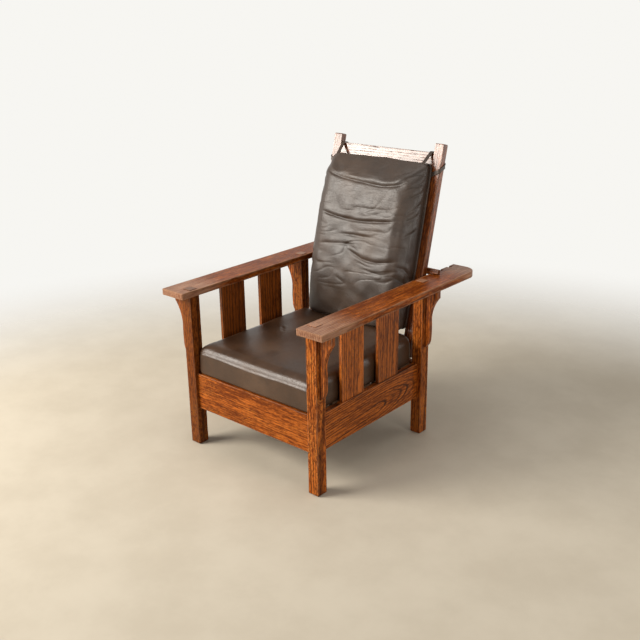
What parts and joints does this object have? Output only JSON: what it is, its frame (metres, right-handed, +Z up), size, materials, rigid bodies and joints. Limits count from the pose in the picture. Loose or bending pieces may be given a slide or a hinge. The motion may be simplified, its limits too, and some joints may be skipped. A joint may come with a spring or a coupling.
{
  "type": "reclining armchair",
  "caption": "Mission oak armchair with a hinged back that rests on a loose bar in notches of the long arms, and leather seat and back cushions.",
  "frame": {"origin": "on the floor, in the middle of the overall width and of the arms' length", "axes": "+Z up, the chair's front faces -Y, +X towards the sitter's left arm"},
  "size_m": [0.758, 0.901, 1.072],
  "materials": {
    "oak": "satin reddish-brown quarter-sawn oak with worn edges",
    "deck_wood": "plain unfinished hardwood",
    "cushion_leather": "very dark brown, semi-gloss",
    "strap_leather": "very dark brown, matt",
    "hinge_steel": "dull",
    "screw_steel": "plain"
  },
  "bodies": {
    "chair_frame": {"cleat_screws": "screw_steel", "deck_screws": "screw_steel", "deck_slat_1": "deck_wood", "deck_slat_2": "deck_wood", "deck_slat_3": "deck_wood", "deck_slat_4": "deck_wood", "deck_slat_5": "deck_wood", "deck_slat_6": "deck_wood", "deck_slat_7": "deck_wood", "front_left_bracket": "oak", "front_left_post": "oak", "front_left_slat": "oak", "front_right_bracket": "oak", "front_right_post": "oak", "front_right_slat": "oak", "front_seat_rail": "oak", "hinge_rail_screws": "screw_steel", "left_arm": "oak", "left_deck_cleat": "deck_wood", "left_hinge_pin": "hinge_steel", "left_hinge_rail_leaf": "hinge_steel", "left_seat_rail": "oak", "rear_left_bracket": "oak", "rear_left_post": "oak", "rear_left_slat": "oak", "rear_right_bracket": "oak", "rear_right_post": "oak", "rear_right_slat": "oak", "rear_seat_rail": "oak", "right_arm": "oak", "right_deck_cleat": "deck_wood", "right_hinge_pin": "hinge_steel", "right_hinge_rail_leaf": "hinge_steel", "right_seat_rail": "oak", "seat_cushion": "cushion_leather"},
    "leaning_back": {"back_cushion": "cushion_leather", "back_slat_1": "oak", "back_slat_2": "oak", "back_slat_3": "oak", "back_slat_4": "oak", "crest_rail": "oak", "hinge_back_screws": "screw_steel", "left_back_stile": "oak", "left_hinge_back_leaf": "hinge_steel", "left_strap": "strap_leather", "lower_back_rail": "oak", "right_back_stile": "oak", "right_hinge_back_leaf": "hinge_steel", "right_strap": "strap_leather"},
    "bar": {"support_bar": "oak"}
  },
  "joints": [
    {"name": "back_hinge", "type": "hinge", "parent": "chair_frame", "child": "leaning_back", "pos_m": [0, 0.212, 0.289], "axis": [1, 0, 0], "range_deg": [0, 10]},
    {"name": "support_bar_lift", "type": "slide", "parent": "chair_frame", "child": "bar", "axis": [0, 0.2419, 0.9703], "range_m": [0, 0.05]}
  ]
}
